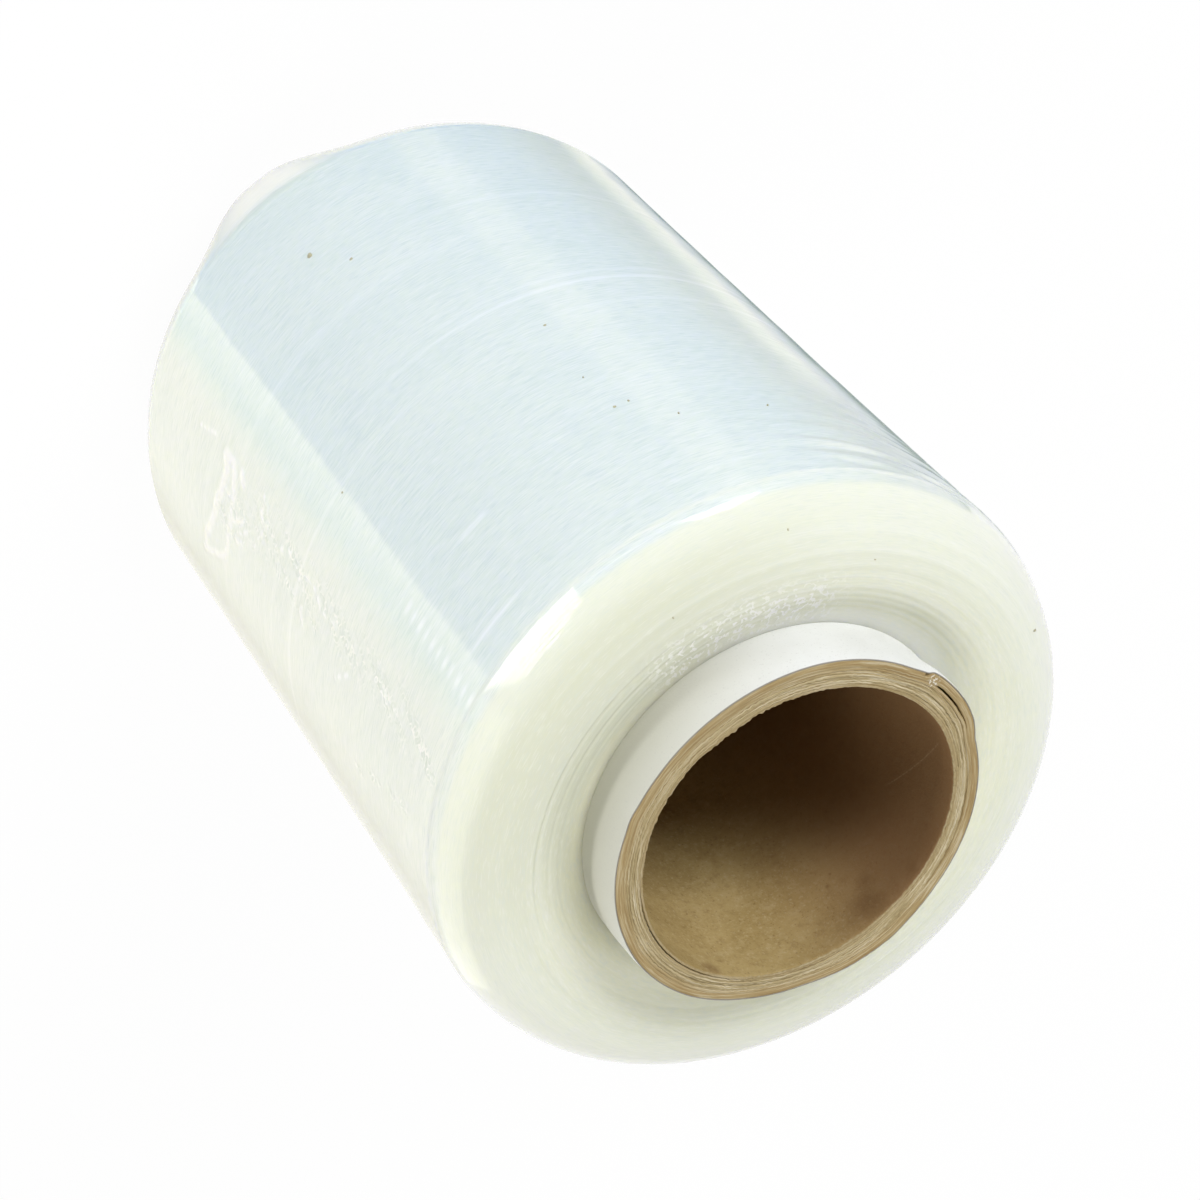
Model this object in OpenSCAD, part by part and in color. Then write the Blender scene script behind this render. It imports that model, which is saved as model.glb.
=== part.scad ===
// Hand roll of clear stretch film on a spirally wound paper core.
// Millimetres. The roll stands on the lower end of its core, with +Z up its axis.

/* [Core tube] */
// Bore of the core
core_bore_d = 38; // [25:0.5:52]
// Number of kraft plies in the wall of the core
ply_count = 8; // [4:1:12]
// Thickness of one kraft ply
ply_t = 0.4; // [0.25:0.05:0.6]
// Thickness of the white paper ply wound over the kraft
white_t = 0.25; // [0.15:0.05:0.5]
// Length of bare core that stands out past the film at each end
core_overhang = 4.85; // [3:0.05:20]
// Largest difference in height between the cut edges of the plies at the upper end
edge_rag = 0.36; // [0:0.04:0.6]

/* [Split in the upper end of the core] */
// Direction of the middle of the split, from +X towards +Y
split_angle = 180; // [0:1:359]
// Angle of the rim over which the outer plies have come away
split_arc = 34; // [20:1:60]
// How far the plies bulge past the core at the middle of the split
split_gap = 0.6; // [0.3:0.05:1.2]
// Number of kraft plies in the loose flap outside the split
flap_plies = 2; // [1:1:3]
// Widest part of the slit under the flap
slit_w = 0.25; // [0.15:0.05:0.4]
// Clear height between the foot of the split and the film
split_clear = 2; // [1:0.1:2.8]
// Width of the open butt joint in the outer kraft ply
butt_gap = 0.4; // [0.2:0.1:1.5]
// Depth of the open butt joint below the rim
butt_depth = 1.6; // [0.5:0.1:3]

/* [Wound film] */
// Diameter of the wound film at the middle of its length
film_d = 76; // [66:0.5:140]
// Width of the wound film from the crest of one end face to the other
film_w = 104.3; // [60:0.1:300]
// How much larger the radius is at the upper end than at the lower one
film_taper = 0.7; // [0:0.1:2]
// How much the radius drops at mid length against the two ends
film_waist = 0.15; // [0:0.05:1]
// Depth of the slack bands that the winding leaves along the side
band_depth = 0.1; // [0:0.02:0.3]
// Distance from one slack band to the next
band_pitch = 6.5; // [4:0.5:15]

/* [End faces of the film] */
// How far each end face dips from its crest to the core
face_dish = 2.56; // [0.5:0.1:6]
// Distance between the rings that bundles of turns leave in the end faces
ring_pitch = 1.6; // [0.8:0.1:4]
// Height of one ring
ring_h = 0.22; // [0:0.02:0.5]
// Height of the rounded shoulder along the axis
shoulder_h = 7.2; // [3:0.1:15]
// Width of the rounded shoulder along the radius
shoulder_w = 7.4; // [3:0.1:9]
// Angle by which the shoulder breaks away from the side
shoulder_break = 10; // [0:1:25]

/* [Loose tail of the film] */
// Direction of the crumpled tail edge, from +X towards +Y
tail_angle = 307; // [0:1:359]
// Widest part of the crumpled edge
tail_w = 7; // [3:0.5:12]
// Greatest height of the crumpled edge over the side
tail_h = 0.55; // [0.2:0.05:1.5]
// Length at each end of the side that the tail lies flat
tail_flat = 10; // [2:1:20]

/* [Hidden] */

$fn = 128;
// How far a cutting solid reaches past the face that it cuts
past = 1;

// Core
bore_r = core_bore_d / 2;
kraft_r = bore_r + ply_count * ply_t;
core_r = kraft_r + white_t;
flap_t = flap_plies * ply_t;
core_len = film_w + 2 * core_overhang;
edge_steps = 4;

// Split: a smaller circle through both ends of the split bulges past the core by the gap
split_half_chord = core_r * sin(split_arc / 2);
split_rise = core_r * (1 - cos(split_arc / 2)) + split_gap;
split_r = (split_half_chord ^ 2 + split_rise ^ 2) / (2 * split_rise);
split_depth = core_overhang + face_dish - split_clear;
// The bulge dies out this far inside the core at its foot
split_sink = 0.15;
split_lean = atan((split_gap + split_sink) / split_depth);
split_x = core_r + split_gap - split_r / cos(split_lean);

// Film
film_r = film_d / 2;
film_z0 = core_overhang;
film_z1 = core_overhang + film_w;
side_z0 = film_z0 + shoulder_h;
side_z1 = film_z1 - shoulder_h;
side_len = side_z1 - side_z0;
crest_r = film_r - shoulder_w;
ring_count = max(1, round((crest_r - core_r) / ring_pitch));
band_count = max(1, round(side_len / band_pitch));
steps_per_band = 3;
shoulder_steps = 8;

// One ring in section, as [share of the pitch, share of the height]
ring_shape = [[0, 0], [0.25, 1], [0.7, 0.75]];

// Crumpled tail
tail_steps = 36;
// Depth of the tail's hem and of its root below the side, so that it grows out of the turns
tail_hem = 0.12;
tail_root = 0.8;
// Folds across the tail, as [share of the width, share of the height]
tail_folds = [[-0.28, 0.7], [-0.08, 0.25], [0.14, 1], [0.3, 0.35]];

// Radius of the side of the roll at height z
function side_r(z) =
    let (t = (z - side_z0) / side_len)
    film_r + film_taper * (t - 0.5) + film_waist * (4 * (t - 0.5) ^ 2)
    - band_depth * (0.5 - 0.5 * cos(360 * band_count * t)) * (0.6 + 0.4 * sin(700 * t));

// Point on the curve that leaves p0 towards p1 and arrives at p2 from p1
function bend(p0, p1, p2, t) = p0 * (1 - t) ^ 2 + 2 * p1 * t * (1 - t) + p2 * t ^ 2;

// Dip of an end face below its crest at a share t of the way from the core to the crest
function dip(t) = face_dish * (1 - t) ^ 1.6;

// End face from the core out to the crest, as [radius, height below the crest]
function face_points() = [
    for (i = [0:ring_count - 1], s = ring_shape)
        let (t = (i + s[0]) / ring_count)
        [core_r + t * (crest_r - core_r), dip(t) - ring_h * s[1] + ring_h]
];

// Shoulder from the crest out to a side of radius r, as [radius, height below the crest]
function shoulder_points(r) = [
    for (i = [0:shoulder_steps - 1])
        bend([crest_r, 0], [r - shoulder_h * tan(shoulder_break), 0], [r, shoulder_h],
             i / shoulder_steps)
];

// Side of the roll from the top down, as [radius, height]
function side_points() =
    let (n = band_count * steps_per_band)
    [for (i = [0:n]) let (z = side_z1 - side_len * i / n) [side_r(z), z]];

function reversed(list) = [for (i = [len(list) - 1:-1:0]) list[i]];

// Height by which the cut edge of one ply, counted from the bore, lies below the rim
function edge_drop(ply) = edge_rag * ((ply * 3) % edge_steps) / (edge_steps - 1);

// Centre line, width and height of the crumpled tail at a share t of its length
function tail_turn(t) = 1.6 * sin(610 * t) + 0.9 * sin(1530 * t + 40);
function tail_ends(t) = min(1, 6 * t, 6 * (1 - t));
function tail_width(t) = tail_w * (0.55 + 0.3 * sin(820 * t + 60) + 0.15 * sin(2270 * t));
function tail_height(t) = tail_h * (0.62 + 0.38 * sin(1900 * t + 200)) * tail_ends(t);

// Section of a tail of width w and height h, as [distance across, height over the side]
function tail_outline(w, h) = concat(
    [[-w / 2, -tail_hem]],
    [for (fold = tail_folds) [fold[0] * w, fold[1] * h]],
    [[w / 2, -tail_hem], [w / 4, -tail_root], [-w / 4, -tail_root]]
);

// One section of the tail where it lies on the roll, at a share t of its length
function tail_section(t) =
    let (
        z = side_z0 + tail_flat + t * (side_len - 2 * tail_flat),
        r = side_r(z)
    )
    [
        for (p = tail_outline(tail_width(t), tail_height(t)))
            let (a = tail_angle + tail_turn(t) + p[0] / r * 180 / PI)
            [(r + p[1]) * cos(a), (r + p[1]) * sin(a), z]
    ];

module tail() {
    rows = [for (i = [0:tail_steps]) tail_section(i / tail_steps)];
    n = len(rows[0]);
    walls = [
        for (i = [0:tail_steps - 1], j = [0:n - 1])
            let (k = (j + 1) % n, a = i * n, b = (i + 1) * n)
            each [[b + k, a + k, a + j], [b + j, b + k, a + j]]
    ];
    lower_end = [for (j = [0:n - 1]) j];
    upper_end = [for (j = [n - 1:-1:0]) tail_steps * n + j];
    polyhedron([for (row = rows) each row], concat(walls, [lower_end, upper_end]));
}

// Leaning cylinder that the bulging plies bend round at the split, drawn in by inset
module split_bulge(inset, top = 0) {
    intersection() {
        rotate([0, 0, split_angle])
            translate([split_x, 0, core_len])
                rotate([0, split_lean, 0])
                    translate([0, 0, -2 * split_depth])
                        cylinder(r = split_r - inset, h = 3 * split_depth);
        translate([0, 0, core_len - split_depth])
            cylinder(r = core_r + 2 * split_gap, h = split_depth + top);
    }
}

// Glued plies, each cut at its own height
module wound_plies() {
    edge = [
        for (i = [ply_count - 1:-1:0], side = [1, 0])
            [bore_r + (i + side) * ply_t, core_len - edge_drop(i)]
    ];
    rotate_extrude() polygon(concat([[bore_r, 0], [kraft_r, 0]], edge));
}

// Kraft plies where they bulge past the round core at the split
module bulging_plies() {
    difference() {
        split_bulge(white_t);
        cylinder(r = kraft_r - ply_t / 2, h = core_len + past);
    }
}

// Air between the loose flap and the plies that stay on the core
module split_slit() {
    difference() {
        split_bulge(white_t + flap_t, past);
        split_bulge(white_t + flap_t + slit_w, 2 * past);
        cylinder(r = kraft_r - flap_t, h = core_len + 2 * past);
    }
}

// Open butt joint of the outer kraft ply, at one end of the split
module butt_joint() {
    difference() {
        rotate([0, 0, split_angle + split_arc / 2])
            translate([bore_r, -butt_gap / 2, core_len - butt_depth])
                cube([kraft_r + split_gap - bore_r, butt_gap, butt_depth + past]);
        cylinder(r = kraft_r - ply_t, h = core_len + 2 * past);
    }
}

module core_tube() {
    color("peru")
        difference() {
            union() {
                wound_plies();
                bulging_plies();
            }
            split_slit();
            butt_joint();
        }
}

module white_ply() {
    color("whitesmoke")
        difference() {
            union() {
                cylinder(r = core_r, h = core_len);
                split_bulge(0);
            }
            translate([0, 0, -past]) cylinder(r = kraft_r, h = core_len + 2 * past);
            split_bulge(white_t, past);
        }
}

module film_blank() {
    face = face_points();
    top = [for (p = concat(face, shoulder_points(side_r(side_z1)))) [p[0], film_z1 - p[1]]];
    bottom = [for (p = concat(face, shoulder_points(side_r(side_z0)))) [p[0], film_z0 + p[1]]];
    rotate_extrude() polygon(concat(top, side_points(), reversed(bottom)));
}

module film_roll() {
    color("honeydew")
        union() {
            film_blank();
            tail();
        }
}

core_tube();
white_ply();
film_roll();
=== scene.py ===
"""Looks of the stretch wrap roll: the wound film, the kraft core and the white paper round the core.

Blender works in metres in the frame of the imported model, with +Z up the roll's axis and the floor at z = 0.
Unless a comment says otherwise, sizes here are in millimetres and a depth counts down from the core's upper
end. Azimuths run from +X towards +Y, in degrees in the tables and in radians where a name is a.
"""

import math
from types import SimpleNamespace

import bpy
import numpy as np
from mathutils import Matrix, Vector


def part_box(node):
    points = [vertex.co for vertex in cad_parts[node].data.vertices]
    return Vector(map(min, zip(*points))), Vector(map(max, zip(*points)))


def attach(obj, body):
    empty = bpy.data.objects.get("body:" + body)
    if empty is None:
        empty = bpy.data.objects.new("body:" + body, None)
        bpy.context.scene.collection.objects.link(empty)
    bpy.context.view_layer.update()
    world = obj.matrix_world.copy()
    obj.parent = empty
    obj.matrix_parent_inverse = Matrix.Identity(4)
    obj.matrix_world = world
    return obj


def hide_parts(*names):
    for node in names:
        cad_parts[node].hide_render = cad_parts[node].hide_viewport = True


MM = 0.001
TURN = 2 * math.pi

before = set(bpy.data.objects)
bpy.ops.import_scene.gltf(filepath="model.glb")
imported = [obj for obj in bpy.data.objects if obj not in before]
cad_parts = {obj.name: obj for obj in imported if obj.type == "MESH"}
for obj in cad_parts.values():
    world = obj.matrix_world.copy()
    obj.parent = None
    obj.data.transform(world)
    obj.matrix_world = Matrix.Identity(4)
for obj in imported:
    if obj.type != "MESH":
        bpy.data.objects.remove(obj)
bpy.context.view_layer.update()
scene = bpy.context.scene

# Sizes read from the frame
film_low, film_high = (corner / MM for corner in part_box("film_roll"))
core_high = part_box("core_tube")[1] / MM
ply_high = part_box("white_ply")[1] / MM
CORE_TOP = core_high.z
KRAFT_R = core_high.y
CORE_R = ply_high.y
FILM_BOTTOM = film_low.z
FILM_TOP = film_high.z
FILM_R = film_high.y

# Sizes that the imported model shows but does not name
BORE_R = 19.0
# Thickness of each kraft ply, from the bore outwards
PLIES = [0.3, 0.32, 0.34, 0.32, 0.34, 0.33, 0.35, 0.9]
FACE_DISH = 2.56
SHOULDER_H = 7.2
SHOULDER_W = 7.4
SHOULDER_BREAK = math.radians(10)
FILM_TAPER = 0.7
FILM_WAIST = 0.15
SIDE_R = FILM_R - FILM_TAPER / 2 - FILM_WAIST
CREST_R = SIDE_R - SHOULDER_W
SIDE_BOTTOM = FILM_BOTTOM + SHOULDER_H
SIDE_TOP = FILM_TOP - SHOULDER_H

# The camera stands where the photograph was taken from, in metres and degrees
CAMERA_AT = (0.0, -0.25686, 0.34494)
CAMERA_DOWN = 47.49
CAMERA_ROLL = 139.75
PHOTO_SIDE = 1200
FOCAL_PIXELS = 3200
SENSOR = 36.0


def ease(low, high, x):
    t = np.clip((x - low) / (high - low), 0, 1)
    return t * t * (3 - 2 * t)


def window(x, start, full, last, end):
    """1 from full to last, and 0 before start and after end."""
    return ease(start, full, x) * ease(end, last, x)


def bell(x, width):
    """A bell curve: 1 where x is 0, and near 0 from two widths away."""
    return np.exp(-((x / width) ** 2))


def waves(seed, count, low, high):
    """A smooth random function of x and azimuth a: count waves of low to high cycles a unit of x."""
    rng = np.random.default_rng(seed)
    cycles = np.exp(rng.uniform(math.log(low), math.log(high), count))
    turns = rng.integers(0, 4, count)
    phase = rng.uniform(0, TURN, count)
    weight = 1 / np.sqrt(cycles / low)

    def value(x, a):
        total = 0.0
        for c, k, p, w in zip(cycles, turns, phase, weight):
            total = total + w * np.sin(TURN * c * x + k * a + p)
        return total / math.sqrt(np.sum(weight**2) / 2) / 1.4

    return value


def angle_apart(a, centre):
    """Degrees from centre to azimuth a in radians, from -180 to 180."""
    return (np.degrees(a) - centre + 180) % 360 - 180


def around(radius, azimuth, height):
    """Points from cylinder coordinates, each an array or a number, the azimuth in radians."""
    radius, azimuth, height = np.broadcast_arrays(radius, azimuth, height)
    return np.stack([radius * np.cos(azimuth), radius * np.sin(azimuth), height], axis=-1)


def polar(azimuth, radius, height):
    """A point from an azimuth in degrees, a radius and a height."""
    a = math.radians(azimuth)
    return (radius * math.cos(a), radius * math.sin(a), height)


def mesh_object(name, points, faces, smooth=True):
    """A piece from points in metres."""
    mesh = bpy.data.meshes.new(name)
    mesh.from_pydata(points.tolist(), [], [list(face) for face in faces])
    mesh.polygons.foreach_set("use_smooth", [smooth] * len(mesh.polygons))
    mesh.update()
    piece = bpy.data.objects.new(name, mesh)
    scene.collection.objects.link(piece)
    return piece


def closed_mesh(name, rows):
    """A piece from rows of points, closed both ways like a ring."""
    index = np.arange(rows.size // 3).reshape(rows.shape[:2])
    right = np.roll(index, -1, axis=1)
    faces = np.stack([index, right, np.roll(right, -1, axis=0), np.roll(index, -1, axis=0)], axis=-1)
    return mesh_object(name, rows.reshape(-1, 3) * MM, faces.reshape(-1, 4))


def store(piece, label, values):
    """Keep a value for each point, under a label that the material reads."""
    layer = piece.data.attributes.new(label, "FLOAT", "POINT")
    layer.data.foreach_set("value", np.asarray(values, dtype=np.float32).ravel())


# Film: its section

# Rows of points, from the upper face down to the lower one
FACE_ROWS = 84
SHOULDER_ROWS = 22
SIDE_ROWS = 200
LIP_ROWS = 30
LOWER_FACE_ROWS = 12
# The side's rows lie closer from this far above its lower end
LIP_ZONE = 1.2
# Down to here the side carries folds, crinkles, random tone and painted light and shade
CREASE_BOTTOM = CORE_TOP - 90.0
# Lip at the far end: its middle azimuth, its reach past the side, and its upper edge
LIP_MIDDLE = 269.0
LIP_BULGE = 0.25
LIP_HEIGHT = 11.2
# The film's inner wall lies inside the core's, so that no light gets in
UNDER_CORE = BORE_R + 1.0
# Columns of points lie closer from the chain of painted glints over the loose tail
CHAIN_START = 291.5
TAIL_START = 302.0
TAIL_END = 332.0


def side_radius(z):
    t = (z - SIDE_BOTTOM) / (SIDE_TOP - SIDE_BOTTOM)
    return SIDE_R + FILM_TAPER * (t - 0.5) + FILM_WAIST * 4 * (t - 0.5) ** 2


def end_profile(face_rows, shoulder_rows, side_r):
    """Radius and depth below the crest, from the core out to the side."""
    t = np.linspace(0, 1, face_rows, endpoint=False)
    face = np.stack([CORE_R + t * (CREST_R - CORE_R), FACE_DISH * (1 - t) ** 1.6], -1)
    t = np.linspace(0, 1, shoulder_rows, endpoint=False)[:, None]
    start = np.array([CREST_R, 0.0])
    corner = np.array([side_r - SHOULDER_H * math.tan(SHOULDER_BREAK), 0.0])
    end = np.array([side_r, SHOULDER_H])
    return np.concatenate([face, start * (1 - t) ** 2 + 2 * corner * t * (1 - t) + end * t**2])


def film_profile():
    """The film's section from the core at the top, over the side, to the core at the bottom."""
    top = end_profile(FACE_ROWS, SHOULDER_ROWS, side_radius(SIDE_TOP))
    bottom = end_profile(LOWER_FACE_ROWS, LIP_ROWS, side_radius(SIDE_BOTTOM))[::-1]
    z = np.concatenate([
        np.linspace(SIDE_TOP, CREASE_BOTTOM, SIDE_ROWS, endpoint=False),
        np.linspace(CREASE_BOTTOM, SIDE_BOTTOM + LIP_ZONE, 9, endpoint=False),
        np.linspace(SIDE_BOTTOM + LIP_ZONE, SIDE_BOTTOM, 8),
    ])
    side = np.stack([side_radius(z), z], -1)
    top = np.stack([top[:, 0], FILM_TOP - top[:, 1]], -1)
    bottom = np.stack([bottom[:, 0], FILM_BOTTOM + bottom[:, 1]], -1)
    return np.concatenate([top, side, bottom])


def section_normals(profile):
    """Unit direction out of the film at each point of its section."""
    ahead = np.roll(profile, -1, axis=0) - np.roll(profile, 1, axis=0)
    ahead[0] = profile[1] - profile[0]
    ahead[-1] = profile[-1] - profile[-2]
    normal = np.stack([-ahead[:, 1], ahead[:, 0]], -1)
    return normal / np.linalg.norm(normal, axis=1)[:, None]


def lip_points(profile):
    """The section with its lower shoulder as square as it is at the lip."""
    square = profile.copy()
    rows = np.flatnonzero(profile[:, 1] < SIDE_BOTTOM - 0.001)[:LIP_ROWS]
    down = 1 - (1 - np.linspace(0, 1, LIP_ROWS + 1)[1:]) ** 1.7
    reach = side_radius(SIDE_BOTTOM) + LIP_BULGE - CREST_R
    square[rows, 0] = CREST_R + reach * (1 - down**6) ** (1 / 6)
    square[rows, 1] = FILM_BOTTOM + SHOULDER_H * (1 - down)
    return square


def lip_share(azimuth):
    """How far the lip shows at an azimuth in degrees, from 0 to 1."""
    return ease(24, 3, np.abs(azimuth - LIP_MIDDLE))


def film_azimuth():
    """Azimuths of the film's columns of points, in radians."""
    chain = np.linspace(CHAIN_START, TAIL_START, 15, endpoint=False)
    tail = np.linspace(TAIL_START, TAIL_END, 76)
    rest = np.linspace(TAIL_END, CHAIN_START + 360, 162)[1:-1]
    return np.radians(np.concatenate([chain, tail, rest]))[None, :]


# Film: its relief

# Bundles of turns in the end faces: their pitch and number
BUNDLE_PITCH = 1.65
BUNDLES = 12


def bundle_height(r, a):
    """Height of the bundles of turns in the end faces."""
    lift = np.random.default_rng(5).uniform(-0.013, 0.013, BUNDLES)
    x = (r - CORE_R) / BUNDLE_PITCH
    k = np.clip(np.floor(x).astype(int), 0, BUNDLES - 1)
    part = x - np.floor(x)
    bundle = window(part, 0, 0.3, 0.75, 1.0)
    fine = waves(6, 10, 0.6, 2.6)(r, a)
    height = (0.022 + 0.073 * ease(25, 30, r)) * bundle + lift[k] * bundle + 0.008 * fine
    return height * ease(23.0, 27.5, r)


def film_relief(r, z, a):
    """Height over the smooth section: bundles in the faces, bands and ripples in the side."""
    on_side = window(z, SIDE_BOTTOM - 1, SIDE_BOTTOM + 1, SIDE_TOP - 1, SIDE_TOP + 1)
    eccentric = r + 0.25 * np.sin(a + 0.6) + 0.06 * np.sin(3 * a)
    face = bundle_height(eccentric, a) * ease(36.5, 33, r)
    bands = waves(11, 10, 0.03, 0.16)(z, a)
    ripple = waves(12, 8, 0.25, 0.6)(z + 0.05 * angle_apart(a, 212), 6 * a)
    ripple_zone = ease(34, 12, np.abs(angle_apart(a, 208))) * ease(30, 8, FILM_TOP - z)
    return on_side * (0.02 * bands + 0.09 * ripple * ripple_zone) + (1 - on_side) * face


# Folds in the loose tail: width and height, then points as (azimuth, depth)
FOLDS = [
    (0.65, 0.25, [(306.8, 78.6), (306.5, 76.1), (308.8, 74.9), (311.3, 73.6), (314.5, 73.5), (318.6, 73.5)]),
    (0.6, 0.25, [(318.6, 73.5), (322.2, 73.4), (324.6, 74.4), (326.2, 76.3), (327.9, 79.2), (329.6, 81.8)]),
    (0.85, 0.35, [(306.8, 78.3), (309.1, 77), (311.3, 77.3), (314, 77.3), (315.6, 78), (318.6, 78.3)]),
    (0.75, 0.32, [(318.6, 78.3), (321.3, 78.9), (323.5, 79.9), (325.4, 80.8), (328, 80.9)]),
    (0.35, 0.25, [(312.3, 74.9), (312.6, 76.8)]),
    (0.45, 0.3, [(313.4, 70), (315.1, 71.8), (316.2, 73.3)]),
    (0.35, 0.22, [(313.7, 67.6), (315.6, 69.5), (316.7, 70.9)]),
    (0.4, 0.25, [(317, 68.8), (318.3, 70.7), (317.5, 72.8)]),
    (0.6, 0.3, [(306.4, 73.3), (307.8, 72)]),
    (0.4, 0.25, [(305.3, 66.4), (306.9, 64.7), (308.3, 66), (309, 63.8)]),
    (0.35, 0.25, [(309, 63.8), (312.3, 64.7), (314.8, 65.5)]),
    (0.35, 0.25, [(308, 56.6), (309.3, 58.7), (310.6, 60.4)]),
    (0.35, 0.2, [(306, 82.5), (307.6, 86.8)]),
    (0.35, 0.2, [(312.9, 50.4), (314.7, 51.1), (316.2, 49.8)]),
    (0.3, 0.2, [(308.1, 51), (308.6, 48.2), (310.3, 46), (309.5, 42.3)]),
    (0.3, 0.2, [(309.6, 55.5), (309, 53), (308.1, 51)]),
    (0.3, 0.2, [(314, 36.6), (317.2, 39.3)]),
    (0.3, 0.2, [(309, 30.4), (308.6, 29.6), (309.9, 28.3), (309, 26.4), (309.6, 24.8), (308.4, 23.2)]),
]
# Folds up to this width have their painted highlights broken up by gaps
THIN_FOLD = 0.4
# Where the tail is finely crinkled: half width, then points as (azimuth, depth)
CRINKLES = [
    (2.1, [(310.5, 15), (309, 24), (309, 31), (309.5, 42), (308.8, 52), (309, 62)]),
    (1.2, [(314.5, 47), (313.5, 53), (313, 58), (312, 66)]),
    (3, [(309.5, 62), (312.5, 70), (316, 75)]),
    (0.7, [(322, 18), (324.5, 26), (328, 32)]),
]
# Waves in the crinkles: radians a millimetre round the roll and down it, and phase
CRINKLE_WAVES = [(2.1, 1.2, 0.0), (-1.7, 2.4, 1.0), (3.3, 0.9, 2.2), (-2.9, 1.6, 4.0)]


def distance_to(path, arc, depth):
    """Distance from points on the side to a path of (azimuth, depth)."""
    nearest = np.full(np.broadcast(arc, depth).shape, 1e3)
    points = [(math.radians(angle - TAIL_START) * SIDE_R, down) for angle, down in path]
    for (x0, y0), (x1, y1) in zip(points, points[1:]):
        along = (arc - x0) * (x1 - x0) + (depth - y0) * (y1 - y0)
        t = np.clip(along / ((x1 - x0) ** 2 + (y1 - y0) ** 2), 0, 1)
        nearest = np.minimum(nearest, np.hypot(arc - x0 - t * (x1 - x0), depth - y0 - t * (y1 - y0)))
    return nearest


def fold_marks(arc, depth):
    """Height of the folds in the tail, and their painted highlights, with a painted shadow below each."""
    height = np.zeros(np.broadcast(arc, depth).shape)
    fold_light_and_shadow = np.zeros_like(height)
    pieces = ease(-0.5, 0.2, waves(33, 8, 0.25, 0.9)(depth + 0.6 * arc, 0 * arc))
    for width, rise, path in FOLDS:
        away = distance_to(path, arc, depth)
        broken = 0.85 + 0.15 * np.sin(1.3 * arc + 2.1 * depth) * np.sin(1.1 * depth - 0.9 * arc)
        height = np.maximum(height, 0.4 * rise * broken * bell(away, width))
        shadow_away = distance_to(path, arc, depth - 1.2 * width)
        whole = 1.0 if width > THIN_FOLD else pieces
        fold_light_and_shadow = fold_light_and_shadow + whole * np.minimum(8.0 * rise * broken * bell(away, 0.75 * width), 1.2)
        fold_light_and_shadow = fold_light_and_shadow - 0.9 * rise * bell(shadow_away, width)
    return height, fold_light_and_shadow


def crinkle_share(arc, depth):
    """Where the tail is finely crinkled, from 0 to 1, in patches."""
    patches = np.clip(0.35 + 0.9 * waves(31, 12, 0.08, 0.5)(depth + 2.5 * arc, 0 * arc), 0, 1)
    share = np.zeros(patches.shape)
    for half, path in CRINKLES:
        share = np.maximum(share, patches * bell(distance_to(path, arc, depth), half))
    return share


def tail_marks(z, a):
    """Height of the tail's folds and crinkles, the folds' painted highlights and shadows, and where the
    crinkles lie.
    """
    depth = CORE_TOP - z
    arc = np.radians(angle_apart(a, TAIL_START)) * SIDE_R
    height, fold_light_and_shadow = fold_marks(arc, depth)
    crinkle = crinkle_share(arc, depth)
    x = arc + 0.4 * np.sin(1.9 * depth)
    y = depth + 0.4 * np.sin(2.3 * arc)
    for u, v, phase in CRINKLE_WAVES:
        height = height + 0.02 * crinkle * (1 - 2 * np.abs(np.sin(u * x + v * y + phase)))
    return height, fold_light_and_shadow, crinkle


# Film: its haze

DASHES = 300
# Lines round the side that the camera sees as pale, as (depth, width, strength)
PALE_LINES = [
    (53, 0.3, 0.8), (58.8, 0.32, 0.8), (61, 0.3, 0.5), (74.6, 0.9, 0.25), (82, 0.32, 0.5), (16.8, 0.25, 0.3),
]
# Short painted highlights in streaks, as (azimuth, half the arc in degrees, depth, width, strength)
STREAKS = [(284.5, 7.5, 16.8, 0.3, 0.9), (278.0, 4.5, 29.8, 0.28, 0.8), (286.0, 5.0, 18.3, 0.2, 0.4)]
# Radii at which bundles of turns meet in the upper end, and the direction in which their painted light and
# shade shows
FACE_RINGS = [25.0, 25.8, 26.7, 27.6, 28.9, 30.3, 32.1, 34.2]
RING_SIDE = math.radians(232)
# Direction in which the turns beside the core carry painted light
PAINTED_LIGHT_SIDE = math.radians(212)
# Depth above which a point lies on the upper face
FACE_DEPTH = 9
# Distance between the painted glints in the chain down the side
GLINT_PITCH = 1.75


def add_dashes(tone_and_painted_light, depth, a, side):
    """Faint dashes along the turns of the side, scattered at random."""
    rng = np.random.default_rng(21)
    for _ in range(DASHES):
        down = rng.uniform(10, 104) if rng.random() < 0.6 else rng.uniform(10, 38)
        centre = rng.uniform(0, 360)
        half = rng.choice([2.5, 6, 14, 25], p=[0.45, 0.4, 0.12, 0.03]) * rng.uniform(0.6, 1.4)
        width = rng.uniform(0.15, 0.3)
        strength = rng.uniform(-0.16, 0.24)
        slant = rng.uniform(-0.02, 0.02)
        rows = side.start + np.flatnonzero(np.abs(depth[side, 0] - down) < 3 * width + 0.6)
        turn = angle_apart(a, centre)
        fade = ease(half, 0.5 * half, np.abs(turn))
        tone_and_painted_light[rows] += strength * bell(depth[rows] - down - slant * turn, width) * fade


def add_lines(tone_and_painted_light, depth, a, side):
    """Pale lines round the side, and a few short painted highlights in streaks."""
    for down, width, strength in PALE_LINES:
        wobble = 0.15 * np.sin(3 * a + down)
        along = 0.6 + 0.4 * np.sin(2 * a + 3 * down)
        tone_and_painted_light[side] += strength * along * bell(depth[side] - down - wobble, width)
    for centre, half, down, width, strength in STREAKS:
        fade = ease(half, 0.4 * half, np.abs(angle_apart(a, centre)))
        tone_and_painted_light[side] += strength * fade * bell(depth[side] - down, width)


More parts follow.
